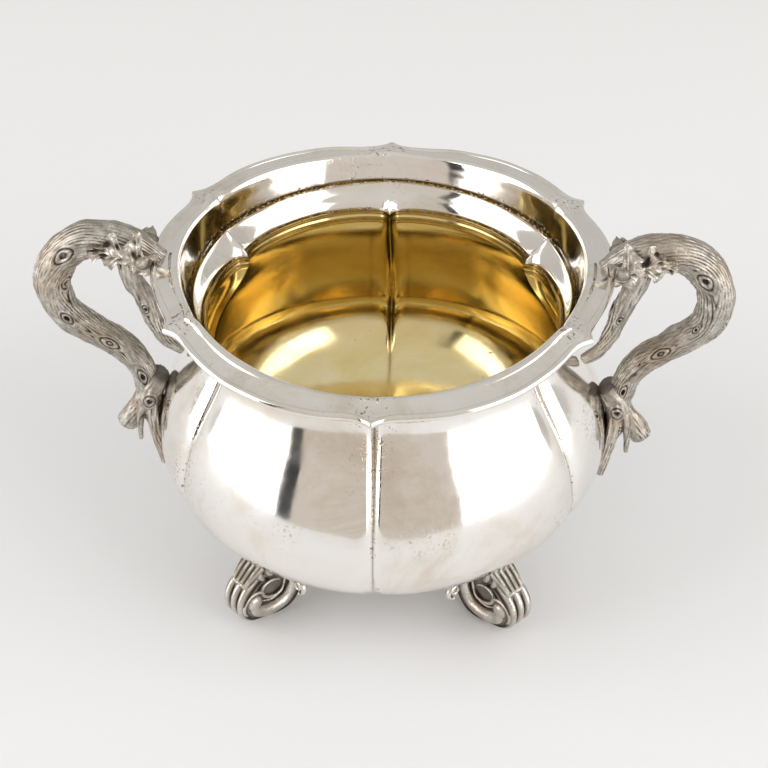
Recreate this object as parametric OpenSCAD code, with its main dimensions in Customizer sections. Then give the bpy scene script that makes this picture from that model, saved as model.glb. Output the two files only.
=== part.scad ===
// Open silver sugar bowl: a six-lobed melon body, gilt inside, with a flared
// six-cornered mouth, four reeded scroll feet and two handles cast as oak boughs.
// +Z is up, the table is z = 0 and the bowl's axis is the Z axis. The handles lie
// along X. Creases and mouth corners stand at 30, 90, 150 ... degrees from +X.

/* [Bowl] */
// Radius of the lobes at the belly, the widest place
belly_r = 62.6; // [60:0.2:64]
// Height of the belly above the table
belly_h = 43.5; // [41:0.5:46]
// Radius of the lobes at the throat
throat_r = 48.7; // [47:0.1:50]
// Height of the throat, where the shell ends and the collar begins
throat_h = 83.6; // [82:0.2:85]
// Radius of the flat underside
base_r = 26; // [22:1:30]
// Height of the flat underside above the table
base_h = 18.5; // [17:0.5:20]
// Thickness of the silver sheet
sheet = 1; // [0.8:0.1:1.4]
// Depth of the creases at the throat, as a share of the radius
crease_top = 0.065; // [0.03:0.005:0.08]
// Depth of the creases at the underside, as a share of the radius
crease_low = 0.02; // [0.01:0.005:0.04]
// Thickness of the gilding
gilding = 0.15; // [0.1:0.05:0.3]

/* [Mouth] */
// Distance from the axis to each corner of the mouth
rim_r = 62; // [60:0.5:64]
// Height of the front and back corners of the mouth
rim_h = 96; // [95:0.2:97]
// How much higher the mouth stands at the handles than at front and back
rim_rise = 3.4; // [0:0.2:4]
// Inner radius of the seam between collar and mouth
seam_r = 51.6; // [51:0.1:52.6]
// Height of that seam
seam_h = 91.2; // [90:0.1:92]
// Radius of the rolled edge
bead_r = 1; // [0.9:0.1:1.4]

/* [Feet] */
// Angle of each foot from the handle's direction
foot_angle = 45; // [40:1:50]
// Distance from the axis to the eye of a foot's scroll
foot_eye_r = 52; // [50:0.5:54]
// Height of that eye above the table
foot_eye_h = 9; // [8.5:0.1:9.5]
// Width of a foot's reeded band
foot_w = 8.6; // [7:0.2:10]

/* [Handles] */
// Radius of the bough where it is thickest
bough_r = 5.5; // [5:0.1:6]
// Radius of the sawn-off side branch
stub_r = 3.2; // [2.8:0.1:3.6]
// Thickness of the oak leaves
leaf_t = 0.9; // [0.7:0.1:1.2]

/* [Hidden] */

// ---- curves ----

// Point at t (0 to 1) on the cubic Bezier curve with the four points of p
function bezier(p, t) =
    pow(1 - t, 3) * p[0] + 3 * pow(1 - t, 2) * t * p[1]
    + 3 * (1 - t) * t * t * p[2] + pow(t, 3) * p[3];

// n + 1 points along that curve
function bezier_points(p, n) = [for (i = [0:n]) bezier(p, i / n)];

// Smooth curve through all the points of p (Catmull-Rom), n steps a span
function spline_point(a, b, c, d, t) =
    0.5 * (2 * b + (c - a) * t + (2 * a - 5 * b + 4 * c - d) * t * t
    + (3 * b - a - 3 * c + d) * t * t * t);
function clamped(p, i) = p[max(0, min(len(p) - 1, i))];
function spline(p, n) = concat(
    [for (i = [0:len(p) - 2]) for (k = [0:n - 1])
        spline_point(clamped(p, i - 1), p[i], p[i + 1], clamped(p, i + 2), k / n)],
    [p[len(p) - 1]]);

function unit(v) = v / norm(v);
function heading(p, i) = unit(clamped(p, i + 1) - clamped(p, i - 1));
function left_of(p, i) = let (t = heading(p, i)) [-t[1], t[0]];   // of a flat path
function mix(a, b, t) = a + (b - a) * t;

// ---- solids from rings of points ----

// Two triangles for each cell between ring k and ring j, n points a ring,
// clockwise from outside when the rings turn anticlockwise about the way they go
function band_faces(k, j, n) = [for (i = [0:n - 1]) let (e = (i + 1) % n)
    each [[k * n + i, j * n + i, j * n + e], [k * n + i, j * n + e, k * n + e]]];

// Closed solid from a stack of rings; both end rings are closed by flat fans
module ring_stack(rings) {
    n = len(rings[0]);
    last = len(rings) - 1;
    points = [for (r = rings) each r];
    faces = concat(
        [for (k = [0:last - 1]) each band_faces(k, k + 1, n)],
        [[for (i = [0:n - 1]) i]],
        [[for (i = [0:n - 1]) last * n + n - 1 - i]]);
    polyhedron(points, faces, convexity = 8);
}

// Closed hoop from rings whose last one joins the first
module ring_loop(rings) {
    n = len(rings[0]);
    m = len(rings);
    points = [for (r = rings) each r];
    polyhedron(points, [for (k = [0:m - 1]) each band_faces(k, (k + 1) % m, n)],
        convexity = 8);
}

// Ring of a section [across, out] at p, for a path with heading t; side is the
// direction that "across" follows
function section_ring(p, t, side, section) =
    let (u = unit(side - (side * t) * t), v = cross(t, u))
    [for (q = section) p + q[0] * u + q[1] * v];

function circle_section(rx, ry, n) =
    [for (i = [0:n - 1]) [rx * cos(360 * i / n), ry * sin(360 * i / n)]];

// Round bar along path, with one radius a point
module bar(path, radii, n = 8, side = [0, 1, 0], flat = 1) {
    ring_stack([for (i = [0:len(path) - 1])
        section_ring(path[i], heading(path, i), side,
            circle_section(radii[i] * flat, radii[i], n))]);
}

// ---- lobes ----

// Angle in degrees from the nearest crease: 0 on a crease, 30 in mid-lobe
function from_crease(a) = let (m = (a + 330) % 60) min(m, 60 - m);

// Share of the full radius at angle a when the creases have this depth: a narrow
// fold on the crease, round shoulders beside it and a gentle bulge over the lobe
fold_w = 1.4;
shoulder_w = 6;
function lobe_share(a, depth) = let (u = from_crease(a))
    1 - depth * (0.55 * exp(-u / fold_w) + 0.25 * exp(-u / shoulder_w)
    + 0.2 * pow(1 - u / 30, 2));

// Angles of the points in each ring: close together at the creases
crease_steps = [0, 1.2, 3.5, 9, 19, 30, 41, 51, 56.5, 58.8];
ring_angles = [for (k = [0:5]) for (u = crease_steps) 30 + 60 * k + u];

function lobed_ring(r, z, depth, inset = 0) = [for (a = ring_angles)
    let (q = r * lobe_share(a, depth) - inset) [q * cos(a), q * sin(a), z]];

function crease_depth(z) =
    mix(crease_low, crease_top, pow(max(0, (z - base_h) / (throat_h - base_h)), 1.3));

// ---- bowl ----

// Outside of a lobe as [radius, height], from the underside up to the throat
under_curve = [[base_r, base_h], [mix(base_r, belly_r, 0.61), base_h],
    [belly_r, mix(belly_h, base_h, 0.374)], [belly_r, belly_h]];
shoulder_curve = [[belly_r, belly_h], [belly_r, mix(belly_h, throat_h, 0.47)],
    [throat_r - 0.5, mix(throat_h, belly_h, 0.24)], [throat_r, throat_h]];
function shell_profile(n) = concat(bezier_points(under_curve, n),
    [for (i = [1:n]) bezier(shoulder_curve, i / n)]);

// The same curve moved inwards by d, square to the sheet
function inset_profile(p, d) = [for (i = [0:len(p) - 1])
    i == len(p) - 1 ? p[i] - [d, 0] : p[i] + d * left_of(p, i)];

shell_steps = 8;
outside = shell_profile(shell_steps);
inside = inset_profile(outside, sheet);
gilt_face = inset_profile(outside, sheet + gilding);
centre_r = 8;   // radius of the innermost ring, which a flat fan closes

function profile_rings(p) = [for (q = p) lobed_ring(q[0], q[1], crease_depth(q[1]))];
function centre_ring(z) = lobed_ring(centre_r, z, 0);
function reversed(p) = [for (i = [len(p) - 1:-1:0]) p[i]];

module shell_between(outer, inner) {
    ring_stack(concat([centre_ring(outer[0][1])], profile_rings(outer),
        reversed(profile_rings(inner)), [centre_ring(inner[0][1])]));
}

module bowl_body() {
    color("silver") shell_between(outside, inside);
}

module gilt_lining() {
    color("goldenrod") shell_between(inside, gilt_face);
}

// ---- collar and mouth ----

// Collar: lobed like the throat at its foot, round at the seam
module neck_collar() {
    steps = 5;
    outer = bezier_points([[throat_r, throat_h], [throat_r, mix(throat_h, seam_h, 0.4)],
        [seam_r + sheet, mix(throat_h, seam_h, 0.5)], [seam_r + sheet, seam_h]], steps);
    function depth(i) = crease_top * pow(1 - i / steps, 1.5);
    color("silver") ring_loop(concat(
        [for (i = [0:steps]) lobed_ring(outer[i][0], outer[i][1], depth(i))],
        [for (i = [steps:-1:0]) lobed_ring(outer[i][0], outer[i][1], depth(i), sheet)]));
}

// Outline of the mouth: how far it stands out from rim_r, as a share of rim_r.
// Broad arcs, flatter at the handles, dip on both sides of each small corner.
function mouth_share(a) = let (u = from_crease(a))
    1.012 - 0.02 * pow(cos(a), 6) - 0.036 * exp(-pow(u / 14, 2)) + 0.05 * exp(-u / 2.6);
function mouth_rise(a) = rim_rise * pow(cos(a), 2);

mouth_steps = [0, 2.5, 5, 8, 12, 18, 24, 30, 36, 42, 48, 52, 55, 57.5];
mouth_angles = [for (k = [0:5]) for (u = mouth_steps) 30 + 60 * k + u];

// Ring of the mouth for a profile point [radius, height]; share runs from 0 at
// the round seam to 1 at the cornered edge, and the rise begins at the seam
function mouth_ring(q, share) =
    let (lift = min(1, max(3 * share, (q[1] - seam_h) / (rim_h - seam_h))))
    [for (a = mouth_angles) let (r = q[0] + share * rim_r * (mouth_share(a) - 1))
        [r * cos(a), r * sin(a), q[1] + lift * mouth_rise(a)]];

bead_centre = [rim_r - bead_r, rim_h - bead_r + 0.6];

// Upper side of the mouth as [radius, height]: a leaning wall up from the seam, a
// rounded crest and a flat brim out to the rolled edge
mouth_top = [[seam_r, seam_h], [seam_r + 2.1, rim_h + 0.6], [seam_r + 2.8, rim_h + 1.5],
    [seam_r + 4.2, rim_h + 1.6], [seam_r + 5.8, rim_h + 0.9],
    bead_centre + [-0.5, bead_r * 0.6]];
mouth_under = [[seam_r + sheet, seam_h], [seam_r + 3, rim_h],
    [seam_r + 3.6, rim_h + 0.5], [seam_r + 4.4, rim_h + 0.5], [seam_r + 5.8, rim_h - 0.2],
    bead_centre - [0.5, 0.5]];
function mouth_spread(q) = max(0, (q[0] - seam_r - sheet) / (bead_centre[0] - seam_r - sheet));

module mouth_rim() {
    color("silver") ring_loop(concat(
        [for (q = mouth_under) mouth_ring(q, mouth_spread(q))],
        [for (q = reversed(mouth_top)) mouth_ring(q, mouth_spread(q))]));
}

module rim_bead() {
    color("gainsboro") ring_loop([for (q = circle_section(bead_r, bead_r, 8))
        mouth_ring(bead_centre + q, 1)]);
}

// ---- feet ----
// A foot is drawn with +X away from the bowl's axis and +Y along its width.

// Space taken by the shell, moved by d, that feet and handle roots stop at
solder = 0.3;   // how far a soldered piece reaches into the sheet
module shell_space(d = solder) {
    rotate_extrude($fn = 90)
        polygon(concat([[0, base_h + d]], inset_profile(outside, d), [[0, throat_h]]));
}

// Outline of a ribbon beside a flat path, from a to b to the left of it
function ribbon(path, a, b) = concat(
    [for (i = [0:len(path) - 1]) path[i] + a * left_of(path, i)],
    [for (i = [len(path) - 1:-1:0]) path[i] + b * left_of(path, i)]);

// Stands an outline of [distance from axis, height] up and gives it a width
module upright(width, y = 0) {
    translate([0, y, 0]) rotate([90, 0, 0]) linear_extrude(width, center = true) children();
}

// Middle line of the reeded band: out of the shell, round the outside, along the
// table and up again to the shell
band_t = 2.2;
reed_h = 0.6;
reeds = 3;
foot_path = spline([for (q = [[-6, 23.5], [0.8, 17], [3.6, 10.6], [2.2, 6],
    [-2, 3.6], [-8, 1.5], [-12.5, 1.8], [-15.6, 5.6], [-16.2, 12], [-14, 19.5]])
    [foot_eye_r + q[0], q[1]]], 3);

module foot_band() {
    upright(foot_w) polygon(ribbon(foot_path, -band_t / 2, band_t / 2));
    for (i = [0:reeds - 1])
        upright(foot_w / reeds - 0.8, foot_w * ((i + 0.5) / reeds - 0.5))
            polygon(ribbon(foot_path, 0, band_t / 2 + reed_h));
}

// Ridge on both sides of the web that winds from the band in to the eye
module eye_scroll() {
    arc = [for (a = [-100:20:130]) let (r = mix(4.9, 3.2, (a + 100) / 230))
        [foot_eye_r + r * cos(a), foot_eye_h + r * sin(a)]];
    upright(foot_w - 0.8) polygon(ribbon(arc, -0.6, 0.6));
    translate([foot_eye_r, 0, foot_eye_h])
        rotate([90, 0, 0]) cylinder(h = foot_w + 1, r = 1.7, center = true, $fn = 24);
}

// Oval ridge on both sides of the web, inwards of the eye
module inner_ring() {
    function oval(grow) = [for (a = [0:30:330])
        [foot_eye_r - 7.6 + (3 + grow) * cos(a), 11.2 + (2.2 + grow) * sin(a)]];
    upright(foot_w - 2.4) difference() {
        polygon(oval(1));
        polygon(oval(0));
    }
}

// Web that closes the scroll half-way across its width
module foot_web() {
    upright(foot_w / 3) polygon(foot_path);
}

module foot_scroll() {
    difference() {
        union() {
            foot_band();
            eye_scroll();
            inner_ring();
            foot_web();
        }
        shell_space();
        translate([0, -10, -10]) cube([80, 20, 10]);   // stands flat on the table
    }
}

// Leaf mount under the shell: two pointed wings to the sides of the foot, with
// scalloped edges and a curl at each tip
wing = 17.4;       // reach of each wing
wing_mid = 46;     // distance of the mount from the bowl's axis
wing_t = 2.4;
function wing_half(s) = 5.4 * pow(1 - abs(s), 0.6) * (0.86 + 0.14 * cos(360 * 2.5 * s));
wing_steps = [for (i = [-12:12]) i / 12];

module foot_leaf() {
    intersection() {
        linear_extrude(40) polygon(concat(
            [for (s = wing_steps) [wing_mid + wing_half(s) + 0.5, wing * s]],
            [for (s = reversed(wing_steps)) [wing_mid - wing_half(s) - 0.5, wing * s]]));
        difference() {
            shell_space(-wing_t);
            shell_space();
        }
    }
    for (side = [-1, 1]) translate([wing_mid - 1, side * (wing - 2.2), 18.9])
        rotate([0, 80, 0]) rotate_extrude($fn = 24) translate([1.6, 0]) circle(0.8, $fn = 16);
}

module at_foot(front, right) {
    mirror([right ? 0 : 1, 0, 0]) mirror([0, front ? 1 : 0, 0])
        rotate([0, 0, foot_angle]) children();
}

module foot_part(front, right, leaf) {
    color(leaf ? "darkgray" : "silver") at_foot(front, right) {
        if (leaf) foot_leaf();
        else foot_scroll();
    }
}

// ---- handles ----
// A handle is drawn on the +X side; the left one is its mirror image.

// Radius of the shell at height z, in the middle of a lobe
function shell_r(z) = lookup(z, [for (p = outside) [p[1], p[0]]]);

// Middle line of the bough, from the rim round to the shoulder of its root
bough_path = spline([[59.5, 0, 97], [65, 0, 101.6], [72, 0, 103.9], [79.5, 0, 103.6],
    [86, 0, 98.2], [89, 0, 89.8], [86.8, 0, 81], [80, 0, 74.6], [72, 0, 68.8],
    [67.2, 0, 61.5], [65.9, 0, 53]], 3);
function bough_radius(s) = bough_r * (s < 0.1 ? mix(0.72, 1, s / 0.1)
    : s < 0.45 ? 1 : mix(1, 0.68, (s - 0.45) / 0.55));

module branch() {
    last = len(bough_path) - 1;
    color("darkgray")
        bar(bough_path, [for (i = [0:last]) bough_radius(i / last)], 16);
}

// Spreading foot of the bough that lies down the side of the shell
module handle_root() {
    heights = [59, 55, 51, 47, 43, 39, 36];
    radii = [4.3, 4.4, 4, 3.3, 2.6, 2, 1.5];
    path = [for (i = [0:len(heights) - 1])
        [shell_r(heights[i]) + radii[i] - solder, 0, heights[i]]];
    color("darkgray") bar(path, radii, 12, flat = 1.25);
}

// Side shoot that braces the bough against the bowl's shoulder
module brace_twig() {
    path = spline([[67.6, -2, 100], [66.6, -3, 95], [63.9, -3.2, 88], [62.2, -3.2, 81],
        [59.8, -3, 75], [56.4, -2.8, 71.2], [54.6, -2.6, 69.6]], 2);
    color("darkgray") bar(path, [for (i = [0:12]) mix(3.1, 0.9, pow(i / 12, 1.3))], 10);
}

module lower_twigs() {
    color("darkgray") {
        long_path = spline([[65.4, -1, 54], [64.8, -3, 48], [64, -5, 43], [62.6, -7.2, 38.5],
            [61, -9, 33.8]], 2);
        bar(long_path, [for (i = [0:8]) mix(2.3, 0.9, pow(i / 8, 0.8))], 8);
        short_path = spline([[67, -2.5, 51], [68.4, -3.4, 45], [68.6, -4, 38]], 3);
        bar(short_path, [for (i = [0:6]) mix(1.5, 0.6, i / 6)], 8);
    }
}

// Side branch sawn off short
module cut_stub() {
    color("gray") translate([66.6, 0, 51.6]) rotate([0, 149, 0]) {
        cylinder(h = 12, r = stub_r, $fn = 32);
        translate([0, 0, 12]) cylinder(h = 0.8, r1 = stub_r, r2 = stub_r * 0.8, $fn = 32);
    }
}

// Half-width of an oak leaf at s along it: rounded lobes that shrink to the tip
leaf_lobes = 3.5;
function leaf_half(s) = 5.4 * pow(sin(180 * pow(s, 0.75)), 0.8)
    * (0.78 + 0.3 * sin(360 * leaf_lobes * s - 60)) + 0.5;

// Leaf that lies on the bough from span first to span last, its midrib turned by
// angle a round the bough (0 is up, 90 is to the front)
module draped_leaf(first, last, a, rows = 16) {
    cols = [-1, -0.5, 0, 0.5, 1];
    function row_point(i, c, lift) =
        let (s = i / rows, f = mix(first, last, s) * (len(bough_path) - 1),
            k = floor(f), p = mix(clamped(bough_path, k), clamped(bough_path, k + 1), f - k),
            t = heading(bough_path, k), u = [0, -1, 0], v = cross(u, t),
            r = bough_radius(mix(first, last, s)) + lift - 0.3 + 0.5 * abs(c),
            w = a + c * leaf_half(s) / bough_r * 57.3)
        p + r * (sin(w) * u + cos(w) * v);
    color("gainsboro") ring_stack([for (i = [0:rows]) concat(
        [for (c = cols) row_point(i, c, leaf_t)],
        [for (c = reversed(cols)) row_point(i, c, 0)])]);
}

// Acorn that stands up out of its cup
module acorn() {
    nut = [for (a = [0:15:75]) [2.4 * cos(a), 4.4 * sin(a)]];
    cup = [for (a = [75:-15:0]) [2.9 * cos(a), -2.2 * sin(a)]];
    color("darkgray") rotate_extrude($fn = 32)
        polygon(concat([[0, -2.2]], cup, [[2.9, 1], [2.4, 1]],
            [for (q = nut) if (q[1] > 1) q], [[0, 4.4]]));
}

module front_acorn() {
    translate([63.7, -3.8, 102.6]) rotate([60, 0, 25]) acorn();
}

module rear_acorn() {
    translate([62.4, 4, 101.6]) rotate([-60, 0, 10]) acorn();
}

module on_left() {
    mirror([1, 0, 0]) children();
}

bowl_body();
gilt_lining();
neck_collar();
mouth_rim();
rim_bead();
foot_part(true, false, false);  // foot_front_left_scroll
foot_part(true, true, false);  // foot_front_right_scroll
foot_part(false, false, false);  // foot_rear_left_scroll
foot_part(false, true, false);  // foot_rear_right_scroll
foot_part(true, false, true);  // foot_front_left_leaf
foot_part(true, true, true);  // foot_front_right_leaf
foot_part(false, false, true);  // foot_rear_left_leaf
foot_part(false, true, true);  // foot_rear_right_leaf
on_left() branch();  // left_branch
on_left() handle_root();  // left_root
on_left() brace_twig();  // left_brace_twig
on_left() lower_twigs();  // left_lower_twigs
on_left() cut_stub();  // left_cut_stub
on_left() draped_leaf(0.02, 0.24, 80);  // left_front_leaf
on_left() draped_leaf(0.02, 0.2, -45);  // left_rear_leaf
on_left() front_acorn();  // left_front_acorn
on_left() rear_acorn();  // left_rear_acorn
branch();  // right_branch
handle_root();  // right_root
brace_twig();  // right_brace_twig
lower_twigs();  // right_lower_twigs
cut_stub();  // right_cut_stub
draped_leaf(0.02, 0.24, 80);  // right_front_leaf
draped_leaf(0.02, 0.2, -45);  // right_rear_leaf
front_acorn();  // right_front_acorn
rear_acorn();  // right_rear_acorn
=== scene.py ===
"""Looks of the open silver sugar bowl: finely modelled silver, gilding and castings round the CAD frame."""

import math

import bmesh
import bpy
import numpy as np
from mathutils import Matrix, Vector


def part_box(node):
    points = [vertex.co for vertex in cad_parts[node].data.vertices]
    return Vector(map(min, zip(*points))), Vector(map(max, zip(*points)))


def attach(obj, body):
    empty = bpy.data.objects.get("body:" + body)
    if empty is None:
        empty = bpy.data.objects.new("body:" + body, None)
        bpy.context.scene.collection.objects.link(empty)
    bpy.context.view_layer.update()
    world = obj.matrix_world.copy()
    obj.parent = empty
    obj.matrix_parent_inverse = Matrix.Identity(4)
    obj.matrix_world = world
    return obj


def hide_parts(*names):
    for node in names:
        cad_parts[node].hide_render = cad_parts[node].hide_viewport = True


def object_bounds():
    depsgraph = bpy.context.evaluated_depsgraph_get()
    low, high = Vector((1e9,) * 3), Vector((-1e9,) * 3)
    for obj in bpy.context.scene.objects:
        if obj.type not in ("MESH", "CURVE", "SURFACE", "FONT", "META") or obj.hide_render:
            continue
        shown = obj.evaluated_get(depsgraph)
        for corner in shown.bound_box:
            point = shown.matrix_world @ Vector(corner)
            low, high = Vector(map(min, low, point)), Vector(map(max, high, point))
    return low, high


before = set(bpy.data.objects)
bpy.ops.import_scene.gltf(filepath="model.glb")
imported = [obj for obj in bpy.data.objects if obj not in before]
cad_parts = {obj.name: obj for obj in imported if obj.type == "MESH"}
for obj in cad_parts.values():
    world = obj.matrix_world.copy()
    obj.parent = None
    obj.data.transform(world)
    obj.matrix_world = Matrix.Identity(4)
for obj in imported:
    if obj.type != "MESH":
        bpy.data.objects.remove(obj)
CAD_LOW, CAD_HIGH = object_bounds()

MM = 0.001


def box_mm(node):
    """Lowest and highest corner of a CAD node, in millimetres."""
    low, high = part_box(node)
    return np.array(low) / MM, np.array(high) / MM


# ---- sizes in millimetres, read from the frame or the same as the CAD part's ----

BODY_LOW, BODY_HIGH = box_mm("bowl_body")
BEAD_HIGH = box_mm("rim_bead")[1]
COLLAR_HIGH = box_mm("neck_collar")[1]

BELLY_R = BODY_HIGH[0]
BASE_H = BODY_LOW[2]
THROAT_H = BODY_HIGH[2]
SEAM_H = COLLAR_HIGH[2]
SHEET = 1.0
SEAM_R = COLLAR_HIGH[0] - SHEET
BEAD_R = 1.0
BEAD_LIFT = 0.6        # top of the rolled edge above the mouth's corners
RIM_RISE = 3.4
RIM_H = BEAD_HIGH[2] - RIM_RISE - BEAD_LIFT
CORNER_SHARE = 1.026   # how far the front corner stands out, as a share of RIM_R
RIM_R = BEAD_HIGH[1] / CORNER_SHARE
BELLY_H = 43.5
THROAT_R = 48.7
BASE_R = 26.0
CREASE_TOP = 0.065
CREASE_LOW = 0.02
GILDING = 0.15
FOOT_ANGLE = 45.0
FOOT_EYE = np.array([52.0, 9.0])
FOOT_W = 8.6
BOUGH_R = 5.5


# ---- curves and fields ----

def mix(a, b, t):
    return a + (b - a) * t


def smooth(edge0, edge1, x):
    """0 below edge0, 1 above edge1, smooth between."""
    t = np.clip((x - edge0) / (edge1 - edge0), 0, 1)
    return t * t * (3 - 2 * t)


def bezier(p, n):
    """n + 1 points along the cubic Bezier curve with the four points of p."""
    p = np.array(p, float)
    t = np.linspace(0, 1, n + 1)[:, None]
    return (1 - t) ** 3 * p[0] + 3 * (1 - t) ** 2 * t * p[1] + 3 * (1 - t) * t * t * p[2] + t ** 3 * p[3]


def spline(p, n):
    """Smooth curve through all points of p (Catmull-Rom), n steps a span."""
    p = np.array(p, float)
    q = np.vstack([p[:1], p, p[-1:]])
    t = (np.arange(n) / n)[:, None]
    spans = [
        0.5 * (2 * b + (c - a) * t + (2 * a - 5 * b + 4 * c - d) * t * t + (3 * b - a - 3 * c + d) * t ** 3)
        for a, b, c, d in zip(q, q[1:], q[2:], q[3:])
    ]
    return np.vstack(spans + [p[-1:]])


def even(path, n):
    """The path again, with n + 1 points at equal distances."""
    d = np.r_[0, np.cumsum(np.linalg.norm(np.diff(path, axis=0), axis=1))]
    s = np.linspace(0, d[-1], n + 1)
    return np.stack([np.interp(s, d, path[:, k]) for k in range(path.shape[1])], 1)


def unit(v):
    return v / np.maximum(np.linalg.norm(v, axis=-1, keepdims=True), 1e-12)


def headings(path):
    return unit(np.gradient(path, axis=0))


def left_of(path):
    """Unit vectors to the left of a flat path."""
    t = headings(path)
    return np.stack([-t[:, 1], t[:, 0]], 1)


class Field:
    """A smooth random height from -1 to 1 at any point: many sine waves of about one size."""

    def __init__(self, seed, size, waves=24):
        rng = np.random.RandomState(seed)
        self.k = unit(rng.normal(size=(waves, 3))) * (2 * np.pi / size) * rng.uniform(0.6, 1.5, (waves, 1))
        self.phase = rng.uniform(0, 2 * np.pi, waves)
        self.scale = 1 / math.sqrt(waves / 2)

    def __call__(self, p):
        flat = np.asarray(p, float).reshape(-1, 3)
        total = np.zeros(len(flat))
        for k, phase in zip(self.k, self.phase):
            total += np.sin(flat @ k + phase)
        return (total * self.scale / 2).reshape(np.shape(p)[:-1])


# ---- meshes ----

class Mesher:
    """Gathers closed grids of points, in millimetres, into one mesh with a shade value a point."""

    def __init__(self):
        self.points, self.faces, self.shades, self.count = [], [], [], 0

    def grid(self, p, shade=0.0, wrap_rows=False):
        """Adds p[row, column]; columns close on themselves and rows close too or end in flat caps."""
        rows, cols = p.shape[:2]
        index = np.arange(rows * cols).reshape(rows, cols) + self.count
        lower, upper = (index, np.roll(index, -1, 0)) if wrap_rows else (index[:-1], index[1:])
        quads = np.stack([lower, np.roll(lower, -1, 1), np.roll(upper, -1, 1), upper], -1)
        self.faces += quads.reshape(-1, 4).tolist()
        if not wrap_rows:
            self.faces += [index[0][::-1].tolist(), index[-1].tolist()]
        self.points.append(p.reshape(-1, 3))
        self.shades.append(np.broadcast_to(shade, (rows, cols)).ravel())
        self.count += rows * cols

    def make(self, name, material, crease=None, mirror=(1, 1), turn=0.0):
        """The finished object, turned about the bowl's axis and mirrored into place."""
        p = np.vstack(self.points)
        c, s = math.cos(math.radians(turn)), math.sin(math.radians(turn))
        p = np.stack([p[:, 0] * c - p[:, 1] * s, p[:, 0] * s + p[:, 1] * c, p[:, 2]], 1)
        mesh = bpy.data.meshes.new(name)
        mesh.from_pydata((p * [mirror[0], mirror[1], 1] * MM).tolist(), [], self.faces)
        shade = mesh.color_attributes.new("hollow", "FLOAT_COLOR", "POINT")
        rgba = np.repeat(np.concatenate(self.shades)[:, None], 4, 1)
        rgba[:, 3] = 1
        shade.data.foreach_set("color", rgba.astype(np.float32).ravel())
        face_outwards(mesh)
        mesh.polygons.foreach_set("use_smooth", np.ones(len(mesh.polygons), bool))
        if crease:
            mesh.set_sharp_from_angle(angle=math.radians(crease))
        obj = bpy.data.objects.new(name, mesh)
        bpy.context.scene.collection.objects.link(obj)
        mesh.materials.append(material)
        return obj


def face_outwards(mesh):
    work = bmesh.new()
    work.from_mesh(mesh)
    bmesh.ops.recalc_face_normals(work, faces=work.faces)
    work.to_mesh(mesh)
    work.free()


def place(obj, slot, *nodes):
    """Fixes a finished piece to the bowl in place of these CAD nodes."""
    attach(obj, "root")
    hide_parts(*nodes)
    return obj


def section_grid(path, side, across, out):
    """Rings along path: across[row, col] along the side direction and out[row, col] square to it."""
    t = headings(path)
    u = unit(side - (t @ np.array(side))[:, None] * t)
    v = np.cross(t, u)
    return path[:, None] + across[..., None] * u[:, None] + out[..., None] * v[:, None]


# ---- materials ----

def new_material(name):
    m = bpy.data.materials.new(name)
    m.use_nodes = True
    nodes = m.node_tree.nodes
    nodes.clear()
    out = nodes.new("ShaderNodeOutputMaterial")
    shader = nodes.new("ShaderNodeBsdfPrincipled")
    m.node_tree.links.new(shader.outputs[0], out.inputs[0])
    return m, m.node_tree, shader


def add(tree, kind, **values):
    """A node with its sockets or properties set by name."""
    node = tree.nodes.new(kind)
    for key, value in values.items():
        if key in node.inputs:
            node.inputs[key].default_value = value
        else:
            setattr(node, key, value)
    return node


def noise_node(tree, coord, scale, detail=4.0, roughness=0.5, distortion=0.0):
    n = add(tree, "ShaderNodeTexNoise", Scale=scale, Detail=detail, Roughness=roughness, Distortion=distortion)
    tree.links.new(coord, n.inputs["Vector"])
    return n.outputs["Fac"]


def ramp(tree, fac, stops):
    """Colour ramp through (position, colour) stops."""
    r = tree.nodes.new("ShaderNodeValToRGB")
    while len(r.color_ramp.elements) < len(stops):
        r.color_ramp.elements.new(0.5)
    for e, (pos, colour) in zip(r.color_ramp.elements, stops):
        e.position = pos
        e.color = (*colour, 1) if len(colour) == 3 else colour
    tree.links.new(fac, r.inputs["Fac"])
    return r.outputs["Color"]


def grey(v):
    return (v, v, v)


def mix_colour(tree, fac, a, b, blend="MIX"):
    n = tree.nodes.new("ShaderNodeMix")
    n.data_type = "RGBA"
    n.blend_type = blend
    for socket, value in ((n.inputs[0], fac), (n.inputs[6], a), (n.inputs[7], b)):
        if isinstance(value, bpy.types.NodeSocket):
            tree.links.new(value, socket)
        else:
            socket.default_value = value if not isinstance(value, tuple) else (*value, 1)
    return n.outputs[2]


def math_node(tree, op, a, b=None, clamp=False):
    n = tree.nodes.new("ShaderNodeMath")
    n.operation = op
    n.use_clamp = clamp
    for socket, value in zip(n.inputs, (a, b)):
        if value is None:
            continue
        if isinstance(value, bpy.types.NodeSocket):
            tree.links.new(value, socket)
        else:
            socket.default_value = value
    return n.outputs[0]


def coordinates(tree, stretch=(1, 1, 1)):
    """Object coordinates in metres, stretched."""
    c = tree.nodes.new("ShaderNodeTexCoord")
    m = tree.nodes.new("ShaderNodeMapping")
    m.inputs["Scale"].default_value = stretch
    tree.links.new(c.outputs["Object"], m.inputs["Vector"])
    return m.outputs[0]


def bump(tree, shader, height, distance, strength=1.0, under=None):
    b = add(tree, "ShaderNodeBump", Strength=strength, Distance=distance)
    tree.links.new(height, b.inputs["Height"])
    if under is not None:
        tree.links.new(under, b.inputs["Normal"])
    tree.links.new(b.outputs[0], shader.inputs["Normal"])
    return b.outputs[0]


def hollow(tree):
    """The shade value stored on the mesh: 0 on open surfaces, 1 deep in a hollow."""
    n = tree.nodes.new("ShaderNodeVertexColor")
    n.layer_name = "hollow"
    return n.outputs["Color"]


PITTED = 0.14   # shade that marks pits; deeper shades mark dark seams and painted shade along the creases


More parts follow.
